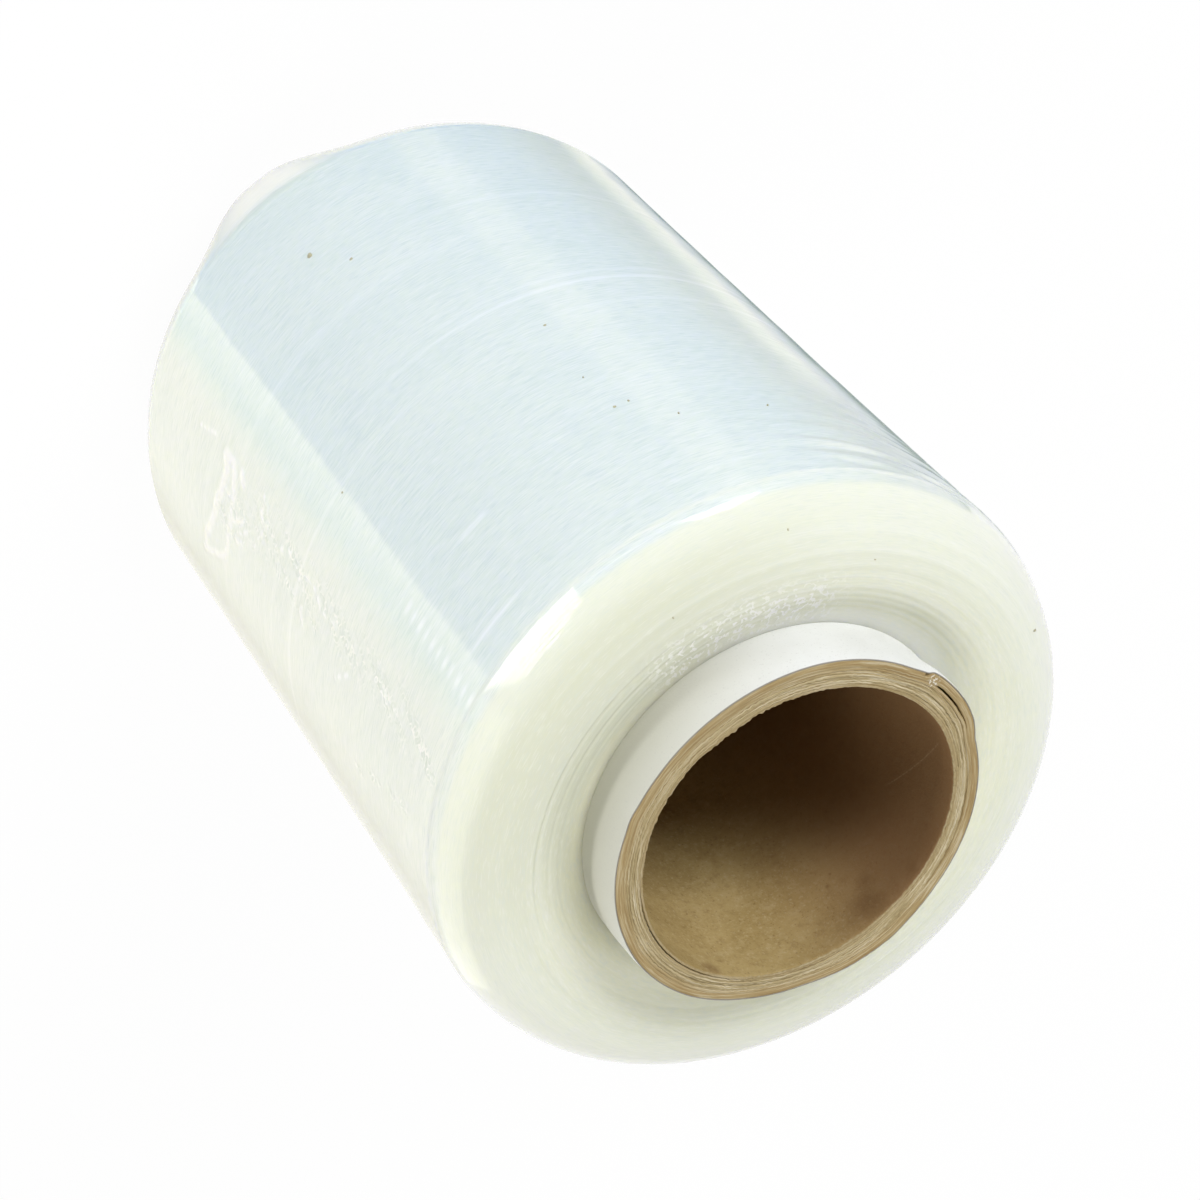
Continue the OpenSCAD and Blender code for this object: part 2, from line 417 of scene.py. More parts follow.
def add_face_rings(tone_and_painted_light, r, depth, a):
    """Darker rings with a pale edge in the upper end, painted as light and shade towards one side, and
    painted light on the turns beside the core.
    """
    eccentric = r + 0.3 * np.sin(a + 0.6)
    facing = ease(0.3, 0.95, np.cos(a - RING_SIDE)) * (depth < FACE_DEPTH)
    for ring in FACE_RINGS:
        tone_and_painted_light -= 0.24 * facing * bell(eccentric - ring, 0.19)
        tone_and_painted_light += 0.2 * facing * bell(eccentric - ring - 0.4, 0.25)
    # Painted light on the turns beside the core, towards one side
    painted_light = ease(0.5, 0.9, np.cos(a - PAINTED_LIGHT_SIDE)) * (depth < FACE_DEPTH)
    tone_and_painted_light += 0.4 * painted_light * ease(26.5, 23.5, r)


def add_painted_glints(tone_and_painted_light, depth, a):
    """A chain of painted glints down the side, beside the tail."""
    middle = 296.2 - 0.06 * (depth - 12)
    chain = bell(angle_apart(a, 0) % 360 - middle, 1.25) * window(depth, 10.5, 12, 30.5, 32)
    tone_and_painted_light += chain * ease(0.0, 0.7, np.sin(TURN * depth / GLINT_PITCH))


def add_painted_lip_line(tone_and_painted_light, lip, height):
    """A painted dark line, the edge of a reflection, over the lip of the far end, and painted light on the
    film below it.
    """
    tone_and_painted_light -= 0.8 * lip * bell(height - LIP_HEIGHT - 0.3, 0.28)
    tone_and_painted_light += 0.35 * lip * ease(LIP_HEIGHT, LIP_HEIGHT - 0.6, height)


def make_film():
    """The film, which stores its random tone with painted light and shade, and where it is crinkled."""
    profile = film_profile()
    normal = section_normals(profile)
    azimuth = film_azimuth()
    r = profile[:, :1]
    z = profile[:, 1:]
    on_side = (z > CREASE_BOTTOM) & (z < SIDE_TOP + 0.01)
    height, fold_light_and_shadow, crinkle = tail_marks(z, azimuth)
    relief = film_relief(r, z, azimuth) + on_side * height
    lip = lip_share(np.degrees(azimuth) % 360)
    square = lip_points(profile)
    lip_r = lip * (square[:, :1] - r)
    lip_z = lip * (square[:, 1:] - z)
    points = around(r + normal[:, :1] * relief + lip_r, azimuth, z + normal[:, 1:] * relief + lip_z)
    inner = around(UNDER_CORE, azimuth, np.linspace(profile[-1, 1], profile[0, 1], 5)[:, None])
    piece = closed_mesh("film", np.concatenate([points, inner])[::-1])

    tone_and_painted_light = np.zeros(relief.shape)
    depth = CORE_TOP - z
    rows = np.flatnonzero(on_side[:, 0])
    side = slice(rows[0], rows[-1] + 1)
    add_dashes(tone_and_painted_light, depth, azimuth, side)
    add_lines(tone_and_painted_light, depth, azimuth, side)
    add_face_rings(tone_and_painted_light, r, depth, azimuth)
    add_painted_glints(tone_and_painted_light, depth, azimuth)
    # Painted highlights and shadows of the folds
    tone_and_painted_light += on_side * fold_light_and_shadow
    add_painted_lip_line(tone_and_painted_light, lip, z + lip_z)
    unseen = np.zeros((len(inner), azimuth.size))
    for label, share in (("tone_and_painted_light", tone_and_painted_light), ("crinkle", on_side * crinkle)):
        store(piece, label, np.clip(np.concatenate([share, unseen])[::-1], -1, 1))
    return piece


# Dust, as (azimuth, depth, size) on the side and (azimuth, radius, size) on the upper face
SIDE_DUST = [
    (269.9, 87.7, 0.36), (264.6, 81.9, 0.2), (246.5, 51.9, 0.16), (247.5, 32.7, 0.18), (244.9, 32.8, 0.15),
    (239.7, 27.7, 0.15), (248, 39.9, 0.12), (224.4, 26.5, 0.14), (292, 52, 0.12),
]
FACE_DUST = [(171.0, 34.7, 0.2), (219.0, 31.7, 0.15), (262.0, 32.5, 0.15), (237.0, 35.6, 0.13)]
# Points round one grain
GRAIN_SIDES = 10


def face_height(radius):
    """Height of the upper end of the film at a radius."""
    profile = end_profile(60, 60, side_radius(SIDE_TOP))
    return FILM_TOP - np.interp(radius, profile[:, 0], profile[:, 1])


def grain_faces(first, rings):
    """Faces of a ball, flat at its top and bottom, whose points start at number first."""
    n = GRAIN_SIDES
    faces = []
    for lower in range(first, first + n * (rings - 1), n):
        for j in range(n):
            k = (j + 1) % n
            faces.append([lower + j, lower + k, lower + n + k, lower + n + j])
    faces.append([first + j for j in range(n - 1, -1, -1)])
    faces.append([first + n * (rings - 1) + j for j in range(n)])
    return faces


def make_dust():
    """Small dark grains, each a ball half sunk in the film."""
    azimuth = np.linspace(0, TURN, GRAIN_SIDES, endpoint=False)
    rings = np.radians([-60, -20, 20, 60])
    points = []
    faces = []
    grains = [(polar(a, side_radius(CORE_TOP - d), CORE_TOP - d), size) for a, d, size in SIDE_DUST]
    grains += [(polar(a, r, face_height(r)), size) for a, r, size in FACE_DUST]
    for seed, (centre, size) in enumerate(grains):
        faces.extend(grain_faces(len(points), len(rings)))
        for up in rings:
            wide = 1 + 0.3 * np.sin(2 * azimuth + seed)
            points.extend(around(size * np.cos(up) * wide, azimuth, size * np.sin(up)) + np.array(centre))
    return mesh_object("dust", np.array(points) * MM, faces)


# Core

CORE_COLUMNS = 900
PAPER_COLUMNS = 720
# The rim of the core is out of round, outside and at the bore: offset by azimuth
RIM_DENTS = [
    (0, -0.2), (22, -0.2), (42, -0.45), (62, -0.4), (76, 0.2), (92, 0.5), (97, 0.3), (112, 0.08),
    (160, 0.03), (200, 0.0), (235, 0.18), (290, 0.0), (299, 0.05), (303, 0.22), (308, 0.0), (345, -0.25),
]
BORE_DENTS = [
    (0, -0.18), (98, -0.12), (112, 0.08), (160, 0.15), (180, 0.2), (205, 0.0), (235, -0.08),
    (248, -0.08), (256, 0.0), (262, -0.2), (272, -0.15), (278, 0.2), (305, 0.1), (318, -0.12),
]
DENT_DEPTH = 6.0
# How far the cut edge of each ply lies below the end of the core
PLY_DROPS = [0.0, 0.08, 0.02, 0.1, 0.04, 0.12, 0.02, 0.0]
# Loose outer ply: from where it leaves the core to its cut end, with the slit under it
FLAP_START = 163.0
FLAP_END = 196.0
FLAP_SWELL = 0.45
SLIT_WIDTH = 0.19
SLIT_START = 168.0
SLIT_END = 192.0
SLIT_DEPTH = 3.5
# Degrees over which the loose ply's cut end is rounded, in the kraft and in the paper
KRAFT_CORNER = 0.4
PAPER_CORNER = 1.2
# Loose innermost ply in the rim
CURL_ANGLE = 3.0
CURL_ARC = 84.0
CURL_GAP = 0.12


def dents(stops, a):
    """Offset by azimuth from a few stops, with the corners rounded."""
    angle, offset = zip(*stops)
    degrees = np.degrees(a)
    return sum(np.interp(degrees + turn, angle, offset, period=360) for turn in (-1.5, 0, 1.5)) / 3


def plies_swell(a):
    """How far the plies under the loose one bulge."""
    return FLAP_SWELL * window(np.degrees(a), FLAP_START, FLAP_START + 9, FLAP_END - 5, FLAP_END + 9)


def flap_lift(a, corner):
    """How far the loose outer ply stands off the next one."""
    angle = np.degrees(a)
    rise = window(angle, FLAP_START, FLAP_START + 4, FLAP_END - corner, FLAP_END + corner)
    return rise * (0.1 + SLIT_WIDTH * ease(FLAP_START + 5, FLAP_START + 16, angle))


def slit_width(a):
    """Width of the slit under the loose ply; torn fibres close it near the cut end."""
    return SLIT_WIDTH * window(np.degrees(a), SLIT_START, SLIT_START + 12, SLIT_END - 3, SLIT_END)


def rim_share(z):
    """Share of the rim's dents that is left at height z."""
    return ease(CORE_TOP - DENT_DEPTH, CORE_TOP, z)


def outer_shift(a, z, corner=KRAFT_CORNER):
    return rim_share(z) * (dents(RIM_DENTS, a) + plies_swell(a) + flap_lift(a, corner))


def curl_lift(a, z):
    """How far the innermost ply stands into the bore."""
    across = ease(CURL_ARC / 2, CURL_ARC / 5, np.abs(angle_apart(a, CURL_ANGLE)))
    return CURL_GAP * across * ease(CORE_TOP - 5, CORE_TOP, z)


def bore_shift(a, z):
    return rim_share(z) * dents(BORE_DENTS, a) - curl_lift(a, z)


def ragged(seed, a, amount):
    """Height of one ply's torn edge round the rim."""
    slow = waves(seed, 6, 0.3, 2.0)(a * 0 + 0.3, a)
    rng = np.random.default_rng(seed + 100)
    turns = rng.integers(20, 170, 16)
    phase = rng.uniform(0, TURN, 16)
    fine = sum(np.sin(t * a + p) for t, p in zip(turns, phase)) / 4
    return amount * (0.6 * slow + 0.4 * fine)


class Tube:
    """Rows of points round a tube, each with its layer: the ply, from the bore, or below 0 off the rim."""

    def __init__(self, columns):
        self.azimuth = np.linspace(0, TURN, columns, endpoint=False)
        self.rows = []
        self.layers = []

    def add(self, radius, z, layer=-1):
        self.rows.append(around(radius, self.azimuth, z))
        self.layers.append(layer)

    def mesh(self, name):
        return closed_mesh(name, np.stack(self.rows)[::-1])


def add_slit(tube, ply, inner, top):
    """The slit under the loose outer ply, and the radius at which that ply starts."""
    width = slit_width(tube.azimuth)
    slit = 0.05 + SLIT_DEPTH * width / SLIT_WIDTH
    tube.add(inner, top - slit * 0.5, ply)
    tube.add(inner + 0.01, top - slit, ply)
    inner = inner + width
    tube.add(inner - 0.01, top - slit, ply)
    tube.add(inner, top - slit * 0.5, ply)
    return inner


def add_curl_gap(tube, outer, top, curl):
    """The gap behind the innermost ply."""
    gap = 0.1 + 0.9 * curl / CURL_GAP
    tube.add(outer - curl * 0.6, top - gap * 0.5, 1)
    tube.add(outer - curl * 0.3, top - gap, 1)
    tube.add(outer, top - gap, 1)
    tube.add(outer, top - gap * 0.5, 1)


def add_ply_end(tube, ply, inner, outer, top, shift, notch):
    """The cut end of one ply, with broken corners and a notch."""
    tube.add(inner + 0.02 + shift, top - 0.05, ply + 0.06)
    tube.add(inner + 0.08 + shift, top, ply + 0.25)
    tube.add((inner + outer) / 2 + shift, top - 0.1 * notch, ply + 0.5)
    top = top - 0.9 * notch
    tube.add(outer - 0.08 + shift, top, ply + 0.75)
    tube.add(outer - 0.02 + shift, top - 0.05, ply + 0.94)


def add_rim(tube):
    """The cut ends of all plies, from the bore outwards."""
    a = tube.azimuth
    curl = curl_lift(a, CORE_TOP)
    bore_dent = dents(BORE_DENTS, a)
    rim_dent = dents(RIM_DENTS, a)
    swell = plies_swell(a)
    notch = bell(angle_apart(a, FLAP_END + 0.7), 0.5)
    tufts = 0.05 + 0.13 * ease(30, 15, np.abs(angle_apart(a, 255)))
    inner = BORE_R + bore_dent + ragged(70, a, 1.0) * tufts
    outermost = len(PLIES) - 1
    for ply, drop in enumerate(PLY_DROPS):
        out = sum(PLIES[: ply + 1])
        share = out / sum(PLIES)
        outer = BORE_R + out + bore_dent * (1 - share) + rim_dent * share
        outer = outer + swell * min(1, (ply + 1) / outermost)
        outer = outer + (flap_lift(a, KRAFT_CORNER) if ply == outermost else ragged(50 + ply, a, 0.05))
        top = CORE_TOP - drop + ragged(20 + ply, a, 0.09 if ply < 6 else 0.03)
        if ply == outermost:
            inner = add_slit(tube, ply, inner, top)
        shift = -curl if ply == 0 else 0
        add_ply_end(tube, ply, inner, outer, top, shift, notch if ply == outermost else 0)
        if ply == 0:
            add_curl_gap(tube, outer, top, curl)
        elif ply < outermost - 1:
            tube.add(outer, top - 0.08, ply + 1)
        inner = outer


def make_core():
    """The kraft tube, which stores the layer of each point."""
    tube = Tube(CORE_COLUMNS)
    for z in np.linspace(0, CORE_TOP - 8, 14):
        tube.add(BORE_R, z)
    for z in np.linspace(CORE_TOP - 7, CORE_TOP - 0.6, 9):
        tube.add(BORE_R + bore_shift(tube.azimuth, z), z)
    add_rim(tube)
    for z in np.linspace(CORE_TOP - 0.5, CORE_TOP - 8, 10):
        tube.add(KRAFT_R + outer_shift(tube.azimuth, z), z)
    for z in (60.0, 0.3):
        tube.add(KRAFT_R, z)
    tube.add(KRAFT_R - 0.1, 0.0, len(PLIES))
    tube.add(BORE_R + 0.2, 0.0, 0)
    piece = tube.mesh("core")
    store(piece, "layer", np.repeat(tube.layers[::-1], CORE_COLUMNS))
    return piece


def make_paper():
    """The white paper round the kraft: its inner face, its cut edge and its outer face."""
    tube = Tube(PAPER_COLUMNS)
    a = tube.azimuth
    for z in np.linspace(0, CORE_TOP - 8, 12):
        tube.add(KRAFT_R, z)
    for z in np.linspace(CORE_TOP - 7.5, CORE_TOP - 0.2, 14):
        tube.add(KRAFT_R + outer_shift(a, z, PAPER_CORNER), z)
    top = CORE_TOP - 0.02 + ragged(41, a, 0.03)
    shift = outer_shift(a, CORE_TOP, PAPER_CORNER)
    tube.add(KRAFT_R + 0.02 + shift, top)
    tube.add(KRAFT_R + 0.10 + shift, top - 0.01)
    wall = CORE_R - KRAFT_R
    for z in np.linspace(CORE_TOP - 0.15, CORE_TOP - 8, 16):
        thin = 0.12 * ease(CORE_TOP - 1.5, CORE_TOP, z)
        tube.add(KRAFT_R + wall - thin + outer_shift(a, z, PAPER_CORNER), z)
    for z in np.linspace(CORE_TOP - 12, 0.0, 12):
        tube.add(CORE_R, z)
    return tube.mesh("paper")


# Materials


def colour(value):
    if isinstance(value, tuple) and len(value) == 3:
        return (*value, 1.0)
    return value


class Nodes:
    """Short calls for building the nodes of a material or of the world."""

    def __init__(self, name, kind="Material"):
        self.material = (bpy.data.worlds if kind == "World" else bpy.data.materials).new(name)
        self.material.use_nodes = True
        self.tree = self.material.node_tree
        self.tree.nodes.clear()
        self.output = self.add("Output" + kind)

    def add(self, kind, inputs=(), **settings):
        """A node with its sockets fed in order, or by name or number from a dictionary."""
        node = self.tree.nodes.new("ShaderNode" + kind)
        for key, value in settings.items():
            setattr(node, key, value)
        for key, value in inputs.items() if isinstance(inputs, dict) else enumerate(inputs):
            if isinstance(value, bpy.types.NodeSocket):
                self.tree.links.new(value, node.inputs[key])
            else:
                node.inputs[key].default_value = value
        return node

    def math(self, operation, *values):
        return self.add("Math", values, operation=operation).outputs[0]

    def times(self, first, *others):
        """Product of two or more values."""
        for other in others:
            first = self.math("MULTIPLY", first, other)
        return first

    def apart(self, a, b):
        """Distance between two values."""
        return self.math("ABSOLUTE", self.math("SUBTRACT", a, b))

    def step(self, value, low, high, out_low=0.0, out_high=1.0):
        values = (value, low, high, out_low, out_high)
        return self.add("MapRange", values, interpolation_type="SMOOTHSTEP").outputs[0]

    def mix(self, factor, a, b):
        return self.add("Mix", {0: factor, 6: colour(a), 7: colour(b)}, data_type="RGBA").outputs[2]

    def tint(self, base, value, start, full, share, shade):
        """Base with a shade mixed in, from nothing where value is start to its share where value is full."""
        return self.mix(self.step(value, start, full, 0.0, share), base, shade)

    def ramp(self, factor, stops):
        node = self.add("ValToRGB", [factor])
        elements = node.color_ramp.elements
        while len(elements) < len(stops):
            elements.new(0.5)
        for element, (place, shade) in zip(elements, stops):
            element.position = place
            element.color = colour(shade)
        return node.outputs[0]

    def noise(self, vector, scale, detail=2.0, roughness=0.5):
        values = {"Vector": vector, "Scale": scale, "Detail": detail, "Roughness": roughness}
        return self.add("TexNoise", values).outputs[0]

    def vector(self, x, y, z):
        return self.add("CombineXYZ", (x, y, z)).outputs[0]

    def attribute(self, label):
        return self.add("Attribute", attribute_name=label).outputs["Fac"]

    def bump(self, height, distance, strength):
        values = {"Height": height, "Distance": distance, "Strength": strength}
        return self.add("Bump", values).outputs[0]

    def finish(self, node):
        """The material, with that node as its surface."""
        self.tree.links.new(node.outputs[0], self.output.inputs[0])
        return self.material

    def shader(self, shade, **inputs):
        values = {name.replace("_", " "): value for name, value in inputs.items()}
        return self.finish(self.add("BsdfPrincipled", {"Base Color": colour(shade), **values}))

    def place(self):
        """A point's radius r, its x, y and z, and its direction as a cosine c and a sine s."""
        split = self.add("SeparateXYZ", [self.add("TexCoord").outputs["Object"]])
        x, y, z = (self.times(socket, 1 / MM) for socket in split.outputs)
        r = self.math("SQRT", self.math("ADD", self.times(x, x), self.times(y, y)))
        c = self.math("DIVIDE", x, r)
        s = self.math("DIVIDE", y, r)
        return SimpleNamespace(r=r, x=x, y=y, z=z, c=c, s=s, point=self.vector(x, y, z))

    def towards(self, at, azimuth):
        """Cosine of the angle from a point's direction to an azimuth in radians."""
        return self.math("ADD", self.times(at.c, math.cos(azimuth)), self.times(at.s, math.sin(azimuth)))

    def spot(self, at, azimuth, radius, height, size):
        """Distance in sizes from a place given by its azimuth in degrees, radius and height."""
        values = (at.point, polar(azimuth, radius, height))
        away = self.add("VectorMath", values, operation="DISTANCE").outputs["Value"]
        return self.math("DIVIDE", away, size)


# Colours along the side by broad noise, and across the upper end from the core outwards
SIDE_SHADES = [(0.35, (0.765, 0.82, 0.765)), (0.65, (0.80, 0.845, 0.785))]
FACE_SHADES = [
    (0.0, (0.82, 0.82, 0.61)),
    (0.35, (0.80, 0.815, 0.65)),
    (0.65, (0.765, 0.79, 0.65)),
    (1.0, (0.82, 0.85, 0.745)),
]
# Colours of the pale tone and painted highlights, and of the painted light lines in folds and sparkles
PALE_AND_HIGHLIGHT_WHITE = (0.95, 0.97, 0.965)
HIGHLIGHT_LINE_WHITE = (0.96, 0.965, 0.925)
# Where painted sparkles, highlights on the edges of the turns, lie in the upper end: direction and radii
SPARKLE_SIDE = math.radians(248)
SPARKLE_INNER = 22.9
SPARKLE_OUTER = 31.5
# Direction towards which the upper end carries painted shade
SHADED_FACE_SIDE = math.radians(288)


def turn_noise(n, at, pitch, slow, detail, drift=0.05):
    """Noise drawn out along the turns: pitch across them, and slow the changes per turn."""
    x = n.math("MULTIPLY_ADD", at.c, slow, n.times(at.z, drift))
    return n.noise(n.vector(x, n.times(at.s, slow), n.math("DIVIDE", at.along, pitch)), 1.0, detail)


def painted_bent_lines(n, zone, field, gaps, width):
    """Shares of the thin bent lines of painted highlight inside a zone, and of the painted shade beside them.
    """
    off = n.apart(field, 0.5)
    light = n.times(n.step(off, width, 0.4 * width), n.step(gaps, 0.44, 0.54))
    shade = n.times(n.step(off, width, 1.5 * width), n.step(off, 4.0 * width, 2.0 * width))
    return n.times(zone, light), n.times(zone, shade)


def painted_sparkle(n, at):
    """Painted highlights and shade of the short dashes along the turns in the upper end."""
    zone = n.times(
        n.step(n.towards(at, SPARKLE_SIDE), 0.87, 0.965),
        n.step(at.r, SPARKLE_INNER, SPARKLE_INNER + 0.7),
        n.step(at.r, SPARKLE_OUTER, SPARKLE_OUTER - 5.0),
        n.step(at.z, FILM_TOP - 6, FILM_TOP - 5),
    )
    dash = turn_noise(n, at, 0.75, 26.0, 2.0, 0.0)
    gaps = turn_noise(n, at, 0.5, 34.0, 0.0, 0.0)
    return painted_bent_lines(n, zone, dash, gaps, 0.07)


def painted_crinkle_lines(n, at):
    """Painted highlights and shade of the fine crinkles in the tail."""
    field = n.noise(at.point, 1.3, 0.5)
    gaps = n.noise(at.point, 1.1, 1.0)
    return painted_bent_lines(n, n.attribute("crinkle"), field, gaps, 0.09)


def face_shade(n, at, streak):
    """Colour of the upper end, yellower towards the core, with painted shade towards one side."""
    shade = n.ramp(n.step(at.r, CORE_R, 36.0), FACE_SHADES)
    shade = n.tint(shade, streak, 0.35, 0.7, 0.22, (0.84, 0.86, 0.76))
    # Painted shade: the upper end darker towards one side
    facing = n.step(n.towards(at, SHADED_FACE_SIDE), 0.4, 1.0)
    painted_shade = n.times(n.step(at.r, 23.5, 26.0), n.step(at.r, 38.0, 35.0), facing)
    return n.mix(painted_shade, shade, (0.70, 0.72, 0.58))


def film_material():
    n = Nodes("wound film")
    at = n.place()
    off_middle = n.apart(at.z, (FILM_TOP + FILM_BOTTOM) / 2)
    at.along = n.math("SUBTRACT", at.r, off_middle)
    half_side = (SIDE_TOP - SIDE_BOTTOM) / 2
    end = n.step(off_middle, half_side + 1.3, half_side + 2.3)
    streak = turn_noise(n, at, 0.7, 5.0, 2.0)
    fine = turn_noise(n, at, 0.17, 20.0, 2.0)

    side = n.ramp(turn_noise(n, at, 9.0, 0.8, 1.0), SIDE_SHADES)
    side = n.tint(side, streak, 0.35, 0.65, 0.35, (0.82, 0.86, 0.84))
    shade = n.mix(end, side, face_shade(n, at, streak))
    contrast = n.step(end, 1.0, 0.0, 0.3, 0.68)
    shade = n.mix(n.times(n.step(fine, 0.5, 0.75), contrast), shade, (0.88, 0.90, 0.87))
    shade = n.mix(n.times(n.step(fine, 0.5, 0.3), contrast), shade, (0.68, 0.75, 0.71))
    tone_and_painted_light = n.attribute("tone_and_painted_light")
    # Stored value: painted shade and darker tone below 0, painted highlights and paler tone above 0
    dark = n.mix(end, (0.58, 0.66, 0.58), (0.60, 0.61, 0.46))
    shade = n.mix(n.times(tone_and_painted_light, -0.8), shade, dark)
    shade = n.mix(tone_and_painted_light, shade, PALE_AND_HIGHLIGHT_WHITE)
    # Painted shade beside, and painted highlights along, the lines of sparkles and crinkles
    for (light, painted_shade), depth in ((painted_sparkle(n, at), 0.2), (painted_crinkle_lines(n, at), 0.55)):
        shade = n.mix(n.times(painted_shade, depth), shade, dark)
        shade = n.mix(light, shade, HIGHLIGHT_LINE_WHITE)

    surface = n.bump(n.math("MULTIPLY_ADD", tone_and_painted_light, 0.4, n.times(fine, 0.35)), 0.00002, 0.6)
    return n.shader(
        shade,
        Roughness=0.26,
        IOR=1.5,
        Specular_IOR_Level=0.25,
        Subsurface_Weight=0.8,
        Subsurface_Radius=(1.0, 1.0, 0.75),
        Subsurface_Scale=0.006,
        Coat_Weight=1.0,
        Coat_Roughness=0.03,
        Coat_IOR=1.8,
        Normal=surface,
        Coat_Normal=surface,
    )


# Brown stains in the bore, as (azimuth, depth, size)
BORE_STAINS = [(92, 3, 3), (97, 5.5, 2), (27, 1.2, 2), (112, 1.5, 1.4), (86, 8.6, 0.5), (89.5, 9.8, 0.4)]
# Direction in which the wall of the bore carries painted shade, darker and redder
SHADED_BORE_SIDE = math.radians(165)
# Seam of the innermost ply: its rise in millimetres per degree, and its depth at azimuth 0
SEAM_SLOPE = -0.24
SEAM_DEPTH = 2.7 + 162 * 0.24


def seam_share(n, at, grain):
    """A hairline where the edge of the innermost ply shows in the bore."""
    turn = n.times(n.math("ARCTAN2", at.y, at.x), 360 / TURN)
    off = n.math("ADD", n.math("MULTIPLY_ADD", turn, SEAM_SLOPE, at.z), SEAM_DEPTH - CORE_TOP)
    hair = n.times(n.step(n.math("ABSOLUTE", off), 0.16, 0.04), n.step(grain, 0.35, 0.55))
    return n.times(hair, n.times(n.step(turn, 124, 130), n.step(turn, 163, 160)), 0.5)


def bore_shade(n, at, blotch, grain):
    """Colour of the wall of the bore."""
    flock = n.noise(at.point, 0.9, 3.0, 0.65)
    shade = n.mix(n.step(blotch, 0.4, 0.65), (0.42, 0.31, 0.13), (0.49, 0.37, 0.165))
    shade = n.tint(shade, flock, 0.5, 0.7, 0.35, (0.58, 0.46, 0.26))
    shade = n.tint(shade, flock, 0.48, 0.3, 0.35, (0.27, 0.18, 0.075))
    shade = n.tint(shade, grain, 0.55, 0.75, 0.5, (0.62, 0.52, 0.32))
    shade = n.tint(shade, grain, 0.4, 0.25, 0.6, (0.22, 0.14, 0.055))
    # Painted shade: the bore's wall darker and redder towards one side
    shade = n.tint(shade, n.towards(at, SHADED_BORE_SIDE), -0.45, 0.65, 0.85, (0.218, 0.115, 0.056))
    shade = n.mix(seam_share(n, at, grain), shade, (0.44, 0.31, 0.19))
    for angle, depth, size in BORE_STAINS:
        away = n.spot(at, angle, BORE_R, CORE_TOP - depth, size)
        stain = n.math("MULTIPLY_ADD", n.math("ADD", blotch, flock), 1.5, away)
        strength = n.times(n.step(stain, 2.6, 1.7), n.step(flock, 0.35, 0.6, 0.3, 0.75))
        shade = n.mix(strength, shade, (0.20, 0.115, 0.05))
    return shade


def rim_shade(n, at, blotch, grain, layer, lines):
    """Colour of the cut plies, with the lines of their fibres along them."""
    outside = n.step(layer, 4.5, 7.5)
    shade = n.mix(outside, (0.49, 0.395, 0.223), (0.425, 0.32, 0.16))
    shade = n.tint(shade, lines, 0.5, 0.38, 0.75, n.mix(outside, (0.33, 0.26, 0.13), (0.33, 0.225, 0.10)))
    cream = n.times(n.step(lines, 0.5, 0.62), n.step(outside, 0.0, 1.0, 1.0, 0.55))
    shade = n.mix(n.times(cream, n.step(blotch, 0.35, 0.6, 0.5, 1.0)), shade, (0.69, 0.615, 0.44))
    shade = n.tint(shade, layer, 2.8, 0.4, 0.6, (0.34, 0.25, 0.12))
    bright = n.times(n.step(layer, 0.9, 0.2), n.step(grain, 0.4, 0.65, 0.0, 0.25))
    shade = n.mix(bright, shade, (0.66, 0.59, 0.41))
    across = n.apart(n.math("FRACT", layer), 0.5)
    seam = n.times(n.step(across, 0.43, 0.5), n.step(lines, 0.65, 0.4, 0.0, 0.5))
    shade = n.mix(seam, shade, (0.19, 0.13, 0.06))
    torn = n.spot(at, 193.5, 22.2, CORE_TOP, 1.0)
    return n.mix(n.times(n.step(torn, 1.0, 0.6), n.step(grain, 0.5, 0.6)), shade, (0.80, 0.76, 0.66))


def kraft_material():
    n = Nodes("kraft board")
    at = n.place()
    blotch = n.noise(at.point, 0.12, 2.0)
    grain = n.noise(at.point, 3.0, 2.0, 0.6)
    layer = n.attribute("layer")
    outer_ply = n.math("MAXIMUM", n.math("SUBTRACT", layer, 7.0), 0.0)
    wound = n.math("MULTIPLY_ADD", layer, 3.0, n.times(outer_ply, 5.0))
    lines = n.noise(n.vector(n.times(at.c, 4.0), n.times(at.s, 4.0), wound), 1.0, 3.0, 0.6)
    rim = rim_shade(n, at, blotch, grain, layer, lines)
    shade = n.mix(n.step(layer, -0.3, 0.1), bore_shade(n, at, blotch, grain), rim)
    relief = n.bump(n.math("ADD", n.times(lines, 0.8), grain), 0.00012, 0.5)
    return n.shader(shade, Roughness=0.85, Specular_IOR_Level=0.25, Normal=relief)


# Direction in which the white paper carries painted shade, greyer
SHADED_PAPER_SIDE = math.radians(308)


def paper_material():
    n = Nodes("white paper ply")
    at = n.place()
    mottle = n.noise(at.point, 0.25, 3.0)
    fibre = n.noise(at.point, 4.0, 3.0)
    # Painted shade: the paper greyer towards one side, and darker low down near the film on that side
    side = n.towards(at, SHADED_PAPER_SIDE)
    low = n.times(n.step(side, 0.1, 0.9), n.step(at.z, CORE_TOP - 1.0, CORE_TOP - 6.0, 0.0, 0.5))
    shade = n.mix(n.step(mottle, 0.35, 0.7), (0.835, 0.845, 0.84), (0.80, 0.81, 0.80))
    shade = n.tint(shade, side, 0.3, 1.05, 0.92, (0.63, 0.63, 0.56))
    shade = n.mix(low, shade, (0.50, 0.49, 0.42))
    shade = n.tint(shade, fibre, 0.60, 0.72, 0.35, (0.52, 0.52, 0.50))
    shade = n.tint(shade, at.z, CORE_TOP - 0.16, CORE_TOP - 0.08, 0.8, (0.22, 0.19, 0.15))
    return n.shader(shade, Roughness=0.7, Specular_IOR_Level=0.3, Normal=n.bump(fibre, 0.00004, 0.5))


# Stage, in metres

# Floor: its side, its colour as light, and the share of plain white that the camera sees
FLOOR_SIDE = 6.0
FLOOR_GREY = (0.62, 0.62, 0.62)
FLOOR_WHITE = 0.96
